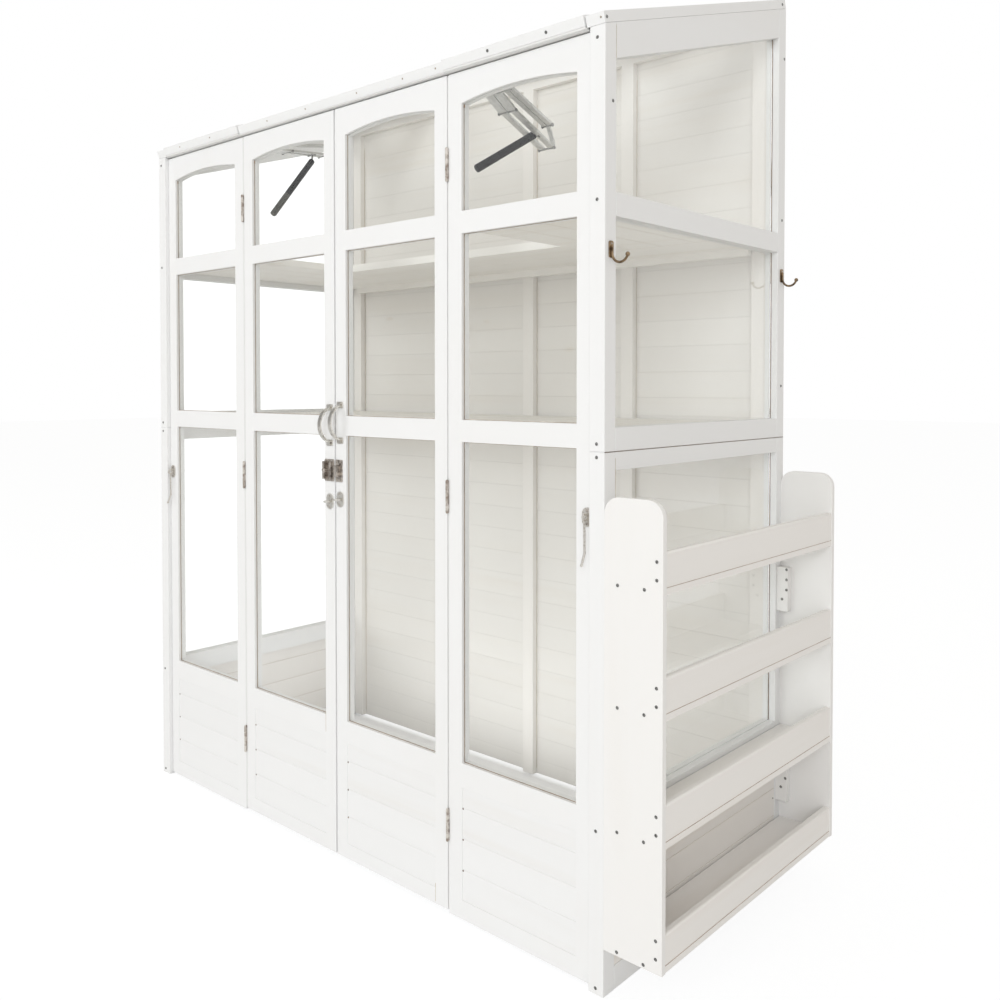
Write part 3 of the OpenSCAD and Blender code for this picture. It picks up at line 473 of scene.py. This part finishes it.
# Screws of the handles, plates and bolt
CENTRE, SIDE = 798, 19.5
hand = [(-SIDE, 1046, LEFT), (SIDE, 1052.5, RIGHT)]
for side, z, body in hand:
    word = body.split("_")[0]
    feet = [(CENTRE + side + k * 7.2, 8, z + h) for h in (-42.5, 42.5) for k in (-1, 1)]
    screws("handle_screws_" + word, feet, "front", body, 0.62, antique)
    eye_z = 862 if body == LEFT else 869.5
    eyes = [(CENTRE + side, 8, eye_z + k * 13) for k in (-1, 1)]
    screws("eye_screws_" + word, eyes, "front", body, 0.75, antique)
screws("bolt_screws", [(776.5, 8, z) for z in (914.5, 960.5)], "front", LEFT, 0.7, nickel)
screws("keeper_screws", [(x, 8, z) for x in (806, 820) for z in (917, 958)], "front", RIGHT, 0.7, nickel)
hooks = [(50.2, 891), (1549.6, 894)]
plate_marks = [(x, 8, z + k * 12.5) for x, z in hooks for k in (-1, 1)]
screws("hook_plate_screws", plate_marks, "front", HOUSE, 0.75, antique)
coat_marks = [(WIDTH + 2.5, y, z) for y, top in ((17.5, 1408), (712.5, 1417)) for z in (top - 5, top - 27)]
screws("coat_hook_screws", coat_marks, "right", HOUSE, 0.6, antique)

# ---------------------------------------------------------------- nail-head dots beside the board joints, in painted shadow brown for the shade at the joints' ends
for x0, x1, body, word in LEAVES:
    x = x0 + STILE + 2.5
    nail_shade_dots = [tube("n", at(x, FACE + 2, z), at(x, FACE + 0.4, z), 0.0019, 12, 0.0003) for z in (110, 176.5, 243)]
    joined(nail_shade_dots, word + "_board_nail_shade_dots", dark_painted_shadow, body)


# ---------------------------------------------------------------- glazing seals
def seal_ring(name, outline, depth, width=0.0009, thick=0.0010):
    """Closed bead along a pane's edge, from its outline in X and Z and its depth in Y, all in mm."""
    deselect()
    bpy.ops.mesh.primitive_circle_add(vertices=len(outline), radius=1, fill_type="NGON")
    obj = bpy.context.object
    for v, (x, z) in zip(obj.data.vertices, outline):
        v.co = at(x, depth, z)
    settle(obj, name)
    bpy.ops.object.mode_set(mode="EDIT")
    bpy.ops.mesh.select_all(action="SELECT")
    bpy.ops.mesh.inset(thickness=width, use_boundary=True)
    bpy.ops.mesh.delete(type="FACE")
    bpy.ops.mesh.select_all(action="SELECT")
    bpy.ops.mesh.extrude_region_move(TRANSFORM_OT_translate={"value": (0, thick, 0)})
    bpy.ops.mesh.select_all(action="SELECT")
    bpy.ops.mesh.normals_make_consistent(inside=False)
    bpy.ops.object.mode_set(mode="OBJECT")
    return obj


for x0, x1, body, word in LEAVES:
    a, b = x0 + STILE + 0.3, x1 - STILE - 0.3
    beads = []
    for z0, z1 in ((1069.3, 1459.7), (340.3, 1021.7)):
        beads.append(seal_ring("r", [(a, z0), (b, z0), (b, z1), (a, z1)], GLASS_FRONT - 1.0))
    for x in (a, b - 0.9):
        beads.append(block("r", at(x, GLASS_FRONT - 1.0, 1507.3), at(x + 0.9, GLASS_FRONT, 1730.5), 0.0002))
    beads.append(block("r", at(a, GLASS_FRONT - 1.0, 1507.3), at(b, GLASS_FRONT, 1508.2), 0.0002))
    if word != "door_right":
        beads.append(block("r", at(a, GLASS_FRONT - 2.0, 1722), at(a + 3, GLASS_FRONT - 0.2, 1729), 0.0006))
    joined(beads, word + "_glazing_seal", sealant, body)


# Weather strips: under the roof above the leaves, and on the leaves' meeting edges between the hinges
under_roof = ((42.5, 416, -4.4, 1803.6), (416, 1180, 0.1, 1801.9), (1180, 1553.5, -4.4, 1803.6))
strips = [block("w", at(x0, y0, 1799.6), at(x1, 20.2, z1), 0.0002) for x0, x1, y0, z1 in under_roof]
for x0, x1 in ((414, 417.1), (1178.9, 1182)):
    for z0, z1 in ((12, 162), (232, 869), (939, 1574), (1644, 1796)):
        strips.append(block("w", at(x0, 11.3, z0), at(x1, 15, z1), 0.0005))
joined(strips, "weather_strips", strip_white, HOUSE)

# Painted shadow lines: thin dark strips for the shade in the joints beside the right front post, at the doors'
# boards and between the two modules
corner = [block("c", at(WIDTH - 0.1, 34.6, z0), at(WIDTH + 0.05, 35.4, z1), 0.00003)
          for z0, z1 in ((1746, 1808), (300, 1006))]
joined(corner, "side_wall_joint_painted_shadows", pale_painted_shadow, HOUSE)
for x, z0, z1, body, word in ((757.5, 297, 346, LEFT, "left"), (1139, 15, 55, RIGHT, "right")):
    edge = block("c", at(x - 0.5, FACE - 0.1, z0), at(x + 0.5, FACE + 2.0, z1), 0.0001)
    joined([edge], "board_joint_painted_shadow_" + word, pale_painted_shadow, body)
between = block("c", at(WIDTH - 0.1, 0.5, 1017.5), at(WIDTH + 0.05, 729.5, 1018.5), 0.00003)
joined([between], "module_joint_painted_shadow", dark_painted_shadow, HOUSE)

# Painted shadow lines: thin dark strips for the shade where the battens meet the back wall's boards
sides = [x for b in BATTEN_X for x in (b - 0.9, b + BATTEN_W)] + [73.3, 1521.8]
edges = [block("j", at(x, WALL_Y - 0.9, 20), at(x + 0.9, WALL_Y - 0.1, 1950), 0.0001) for x in sides]
joined(edges, "batten_joint_painted_shadows", pale_painted_shadow, HOUSE)

# Painted shadow lines: thin dark strips for the shade between the boards of the inside shelves, in their grooves
for word, low in (("upper", 1472), ("middle", 1034)):
    lines = [block("j", at(37, SHELF_BACK - 0.8, low + 0.3), at(1559, SHELF_BACK + 0.8, low + 1.3), 0.0001)]
    for x in [side + turn * SHELF_BOARD * i for side, turn in ((POST, 1), (WIDTH - POST, -1)) for i in (1, 2, 3)]:
        lines.append(block("j", at(x - 0.8, 44, low + 0.3), at(x + 0.8, 523, low + 1.3), 0.0001))
    joined(lines, word + "_shelf_joint_painted_shadows", pale_painted_shadow, HOUSE)

# Painted shadow line: a dark strip for the shade in the corner between each lip and its shelf; then the seals of
# the side panes
joints = [block("j", at(1720.6, 12.4, z + 11.6), at(1721.7, 717.6, z + 12.7), 0.0001) for z in RACK_Z]
joined(joints, "lip_joint_painted_shadows", lip_painted_shadow, HOUSE)
# The side panes' seals are beads in the dark painted shadow brown. They stand for the seals and for the shade in
# the rebates beside the glass.
side_beads = []
for x0, x1 in ((17 - 1.3, 17), (1579, 1579 + 1.3)):
    for z0, z1 in ((340.5, 982.5), (1063.5, 1455.5), (1501.5, 1745)):
        side_beads.append(block("b", at(x0, 35, z0), at(x1, 36.4, z1), 0.0003))
        z1 = z1 if z1 < 1700 else 1957
        side_beads.append(block("b", at(x0, 693.6, z0), at(x1, 695, z1), 0.0003))
joined(side_beads, "side_pane_seals_and_shadow_lines", dark_painted_shadow, HOUSE)

# ---------------------------------------------------------------- automatic vent openers
def channel(name, x, width, a, b, thick=1.6, lip=5.0):
    """Sheet arm with turned-up edges, between two points given in Y and Z in mm."""
    (y0, z0), (y1, z1) = a, b
    length = math.hypot(y1 - y0, z1 - z0)
    wide, long, thin, high = width / 1000, (length + 4) / 1000, thick / 1000, lip / 1000
    parts = [block("p", (0, -0.004, -thin / 2), (wide, long, thin / 2), 0.0003),
             block("p", (0, -0.004, 0), (thin, long, high), 0.0003),
             block("p", (wide - thin, -0.004, 0), (wide, long, high), 0.0003)]
    turn = Matrix.Translation(at(x, y0, z0)) @ Matrix.Rotation(math.atan2(z1 - z0, y1 - y0), 4, "X")
    for p in parts:
        p.data.transform(turn)
    return parts


ARM, STOP, HEAD = 12, 41, 1802


def opener(word, x, hang, mid, far, low, top, pull):
    """Upper and lower arms, link, pins and cylinder; places are in arm widths from the stop and the posts' top."""
    mid, far, low, top = ((STOP + p[0] * ARM, HEAD + p[1] * ARM) for p in (mid, far, low, top))
    near = (65.05, HEAD - hang)
    arms = []
    for k in (-3.3, -1.2):
        arms += channel("a", x + k * ARM, 1.8 * ARM, near, mid)
    for k in (1.1, 2.3):
        arms += channel("a", x + k * ARM, ARM, near, far)
    for k in (-3, -0.7):
        arms += channel("a", x + k * ARM, 1.2 * ARM, mid, low)
    arms += channel("a", x + 1.9 * ARM, 0.8 * ARM, far, (far[0] + 1.4 * ARM, far[1] - 3 * ARM), 1.6, 3.0)
    arms.append(block("a", at(x - 42, near[0] - 3.75, near[1] - 7), at(x + 42, near[0] - 1.25, 1806)))
    joined(arms, "opener_arms_" + word, sheet_metal, HOUSE)
    part = (top[0] - mid[0]) / (low[0] - mid[0])
    held = (mid[0] + part * (low[0] - mid[0]), mid[1] + part * (low[1] - mid[1]))
    bars = ((-3.4, 0.7, mid), (1.0, 3.4, far), (-3.1, 0.6, low), (-2.5, 0, held))
    pins = [tube("p", at(x + i * ARM, *q), at(x + j * ARM, *q), 0.0021, 20) for i, j, q in bars]
    pins += [tube("p", at(x + k * ARM - 0.9, *q), at(x + k * ARM + 0.9, *q), 0.0040, 20)
             for i, j, q in bars for k in (i, j)]
    joined(pins, "opener_pins_" + word, zinc, HOUSE)
    head = Vector((x - ARM, *top))
    way = Vector(pull).normalized()
    length = Vector(pull).length * ARM
    barrel = tube("b", at(*head), at(*(head + way * (0.66 * length + 2))), 0.0088, 48, 0.0036)
    sleeve = tube("b", at(*(head + way * 0.66 * length)), at(*(head + way * (length + 8))), 0.0090, 48, 0.0030)
    joined([barrel], "opener_tube_" + word, black_tube, HOUSE)
    joined([sleeve], "opener_sleeve_" + word, sleeve_grey if word == "left" else black_tube, HOUSE)
    rod = tube("b", at(*(head + way * 2)), at(x - ARM, *held), 0.0028, 24)
    return joined([rod], "opener_rod_" + word, zinc, HOUSE)


opener_left = opener("left", 321.1, 6, (16.2, 1), (26.8, 3.7), (26.8, 1.9), (23.2, 0.2), (0, -11.2, -14.2))
opener_right = opener("right", 1274.9, 45.6, (6.1, -6.3), (13, -8), (17, -10.9), (13.3, -8.9), (-5.1, -9.6, -6.9))
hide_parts("vent_openers")
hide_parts("vent_openers")

# ---------------------------------------------------------------- hinge pin caps
for x, body, word in ((416.5, HOUSE, "left"), (1179.5, HOUSE, "right")):
    caps = []
    for z in HINGE_Z:
        for low, high in ((z - 2.2, z + 0.4), (z + 67.6, z + 70.2)):
            caps.append(tube("c", at(x, 7.0, low), at(x, 7.0, high), 0.0024, 24, 0.0008))
    joined(caps, "hinge_pin_caps_" + word, hinge_metal, body)

bpy.data.objects.remove(screw)


# ---------------------------------------------------------------- floor, light and camera
def studio_floor():
    """Pale floor that shows white and keeps the shadow, and is plainly lit inside the house."""
    m = bpy.data.materials.new("studio_floor")
    m.use_nodes = True
    t = m.node_tree
    s = t.nodes["Principled BSDF"]
    s.inputs["Base Color"].default_value = (0.90, 0.90, 0.90, 1)
    s.inputs["Roughness"].default_value = 0.9
    path = add(t, "ShaderNodeLightPath")
    seen = math_node(t, "MAXIMUM", path.outputs["Is Camera Ray"],
                     math_node(t, "MAXIMUM", path.outputs["Is Glossy Ray"], path.outputs["Is Transmission Ray"]))
    beyond = math_node(t, "ADD", math_node(t, "MULTIPLY", path.outputs["Is Transmission Ray"], 0.28), 1.09)
    mirrored = math_node(t, "SUBTRACT", path.outputs["Is Glossy Ray"], path.outputs["Is Transmission Ray"], True)
    beyond = math_node(t, "SUBTRACT", beyond, math_node(t, "MULTIPLY", mirrored, 0.5))
    glow = add(t, "ShaderNodeEmission", {"Strength": beyond}, Color=(0.995, 1, 1.005, 1))
    spot = add(t, "ShaderNodeSeparateXYZ", {0: add(t, "ShaderNodeTexCoord").outputs["Object"]})
    aside = math_node(t, "ABSOLUTE", math_node(t, "ADD", spot.outputs["X"], 0.0635))
    aside = math_node(t, "SUBTRACT", aside, 0.785)
    ahead = math_node(t, "MULTIPLY", math_node(t, "SUBTRACT", -0.05, spot.outputs["Y"]), 0.2)
    behind = math_node(t, "SUBTRACT", spot.outputs["Y"], 0.364)
    past = math_node(t, "MAXIMUM", aside, math_node(t, "MAXIMUM", ahead, behind))
    outside = add(t, "ShaderNodeMapRange", {"Value": past}, **{
        "From Min": -0.02, "From Max": 0.02, "To Min": 0.10, "To Max": 0.80}).outputs[0]
    share = math_node(t, "MULTIPLY", seen, outside)
    mix = add(t, "ShaderNodeMixShader", {0: share, 1: s.outputs[0], 2: glow.outputs[0]})
    t.links.new(mix.outputs[0], t.nodes["Material Output"].inputs["Surface"])
    deselect()
    bpy.ops.mesh.primitive_plane_add(size=60, location=(0, 0, -0.0005))
    floor = settle(bpy.context.object, "floor")
    floor.data.materials.append(m)


def studio_world(level):
    """Soft daylight from all round, and a white backdrop for what the camera, panes and metal show."""
    world = bpy.data.worlds.new("studio")
    bpy.context.scene.world = world
    world.use_nodes = True
    t = world.node_tree
    soft = t.nodes["Background"]
    soft.inputs["Color"].default_value = (1.0, 0.955, 0.89, 1)
    soft.inputs["Strength"].default_value = level
    path = add(t, "ShaderNodeLightPath")
    way = add(t, "ShaderNodeSeparateXYZ", {0: add(t, "ShaderNodeTexCoord").outputs["Generated"]}).outputs["X"]
    wall = add(t, "ShaderNodeMapRange", {"Value": way}, **{
        "From Min": -0.79, "From Max": -0.63, "To Min": 0.05, "To Max": 0.9}).outputs[0]
    mirrored = math_node(t, "SUBTRACT", path.outputs["Is Glossy Ray"], path.outputs["Is Transmission Ray"], True)
    level = math_node(t, "ADD", math_node(t, "MULTIPLY", path.outputs["Is Transmission Ray"], 0.28), 1.0)
    level = math_node(t, "SUBTRACT", level, math_node(t, "MULTIPLY", mirrored, level))
    beyond = math_node(t, "ADD", level, math_node(t, "MULTIPLY", mirrored, wall))
    plain = add(t, "ShaderNodeBackground", {"Strength": beyond}, Color=(1, 1, 1, 1))
    seen = math_node(t, "MAXIMUM", path.outputs["Is Camera Ray"],
                     math_node(t, "MAXIMUM", path.outputs["Is Glossy Ray"], path.outputs["Is Transmission Ray"]))
    mix = add(t, "ShaderNodeMixShader", {0: seen, 1: soft.outputs[0], 2: plain.outputs[0]})
    t.links.new(mix.outputs[0], t.nodes["World Output"].inputs["Surface"])


def soft_lamp(name, place, target, size, power, tint=(1, 1, 1), depth=None):
    lamp = bpy.data.lights.new(name, "AREA")
    lamp.shape, lamp.size, lamp.energy, lamp.color = "ELLIPSE", size, power, tint
    lamp.size_y = depth or size
    obj = bpy.data.objects.new(name, lamp)
    bpy.context.collection.objects.link(obj)
    obj.location = place
    obj.rotation_mode = "QUATERNION"
    obj.rotation_quaternion = (Vector(target) - Vector(place)).to_track_quat("-Z", "Y")
    obj.visible_glossy = obj.visible_camera = obj.visible_transmission = False


studio_floor()
studio_world(0.62)
soft_lamp("lamp_front", (6.5, -10.0, 4.8), (0, 0, 1.0), 6.5, 462, (0.92, 0.96, 1.0))
soft_lamp("lamp_left", (-5.0, -9.5, 3.2), (0, 0, 1.0), 5.0, 218, (0.95, 0.975, 1.0))
soft_lamp("lamp_above", (0.0, -0.4, 5.5), (0, 0, 1.0), 3.0, 20)
soft_lamp("lamp_inside", (-0.06, 0.0, 0.03), (-0.06, 0.10, 1.2), 1.35, 2.0, (0.97, 0.985, 1.0), 0.4)

eye = bpy.data.cameras.new("camera")
eye.sensor_width, eye.lens = 36, 34.888
eye.shift_x, eye.shift_y = -0.0012, -0.0927
camera = bpy.data.objects.new("camera", eye)
bpy.context.collection.objects.link(camera)
camera.location = (1.7801, -1.8054, 1.1421)
camera.rotation_mode = "QUATERNION"
camera.rotation_quaternion = Vector((-0.66696, 0.74474, -0.02288)).to_track_quat("-Z", "Y")
bpy.context.scene.camera = camera
bpy.context.scene.view_settings.view_transform = "Standard"
